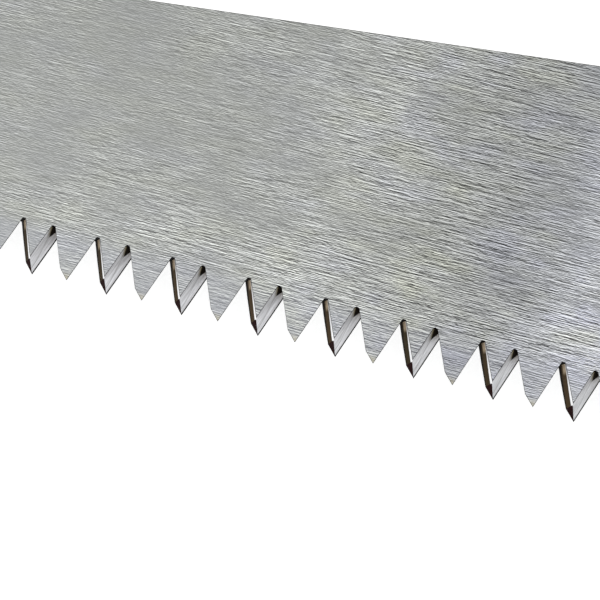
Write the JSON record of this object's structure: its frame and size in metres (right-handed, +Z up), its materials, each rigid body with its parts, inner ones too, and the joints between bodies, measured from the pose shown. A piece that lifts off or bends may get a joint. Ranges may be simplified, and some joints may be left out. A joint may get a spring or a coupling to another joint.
{
  "type": "folding pruning saw",
  "caption": "Folding pruning saw with a tapered triple-ground blade, a two-part moulded handle with rubber panels, and a sprung back lever that locks the blade.",
  "frame": {"origin": "on the blade's pivot axis, in the plane the saw rests on, at the middle of the pivot nut's outer face", "axes": "+Z up, along the pivot axis and square to the blade's flat, so the pictured face looks to +Z; +X from the pivot towards the butt of the handle, so the open blade's toe points to -X; +Y towards the blade's back, teeth to -Y"},
  "size_m": [0.4849, 0.0504, 0.025],
  "materials": {
    "saw_steel": "brushed along the blade",
    "bearing_bronze": "turned",
    "liner_steel": "rolled sheet",
    "bright_zinc": "bright zinc plate",
    "blackened_steel": "black oxide",
    "moulded_green": "fine moulded grain",
    "grip_rubber": "soft matt rubber",
    "pad_plastic": "moulded, satin",
    "spacer_plastic": "moulded, matt"
  },
  "bodies": {
    "handle": {"left_washer": "bearing_bronze", "right_washer": "bearing_bronze", "lever_pin": "bright_zinc", "open_stop_pin": "bright_zinc", "closed_stop_pin": "bright_zinc", "lever_spring": "bright_zinc", "pivot_bolt": "bright_zinc", "pivot_nut": "bright_zinc", "spring_washer": "blackened_steel", "back_spacer": "spacer_plastic", "hang_eyelet": "bright_zinc", "left_liner": "liner_steel", "right_liner": "liner_steel", "left_shell": "moulded_green", "right_shell": "moulded_green", "left_grip": "grip_rubber", "right_grip": "grip_rubber", "shell_screw_1": "blackened_steel", "shell_screw_2": "blackened_steel", "shell_screw_3": "blackened_steel", "shell_screw_4": "blackened_steel", "shell_nut_1": "bright_zinc", "shell_nut_2": "bright_zinc", "shell_nut_3": "bright_zinc", "shell_nut_4": "bright_zinc"},
    "blade": {"saw_blade": "saw_steel", "pivot_bush": "bearing_bronze"},
    "lock_lever": {"lock_lever": "blackened_steel", "thumb_pad": "pad_plastic"}
  },
  "joints": [
    {"name": "blade_fold", "type": "hinge", "parent": "handle", "child": "blade", "pos_m": [0, 0, 0.0125], "axis": [0, 0, 1], "range_deg": [0, 180]},
    {"name": "lever_press", "type": "hinge", "parent": "handle", "child": "lock_lever", "pos_m": [0.024, 0.0185, 0.0125], "axis": [0, 0, 1], "range_deg": [0, 7.5], "stiffness_Nm_per_rad": 0.3, "springref_deg": 17.19}
  ]
}
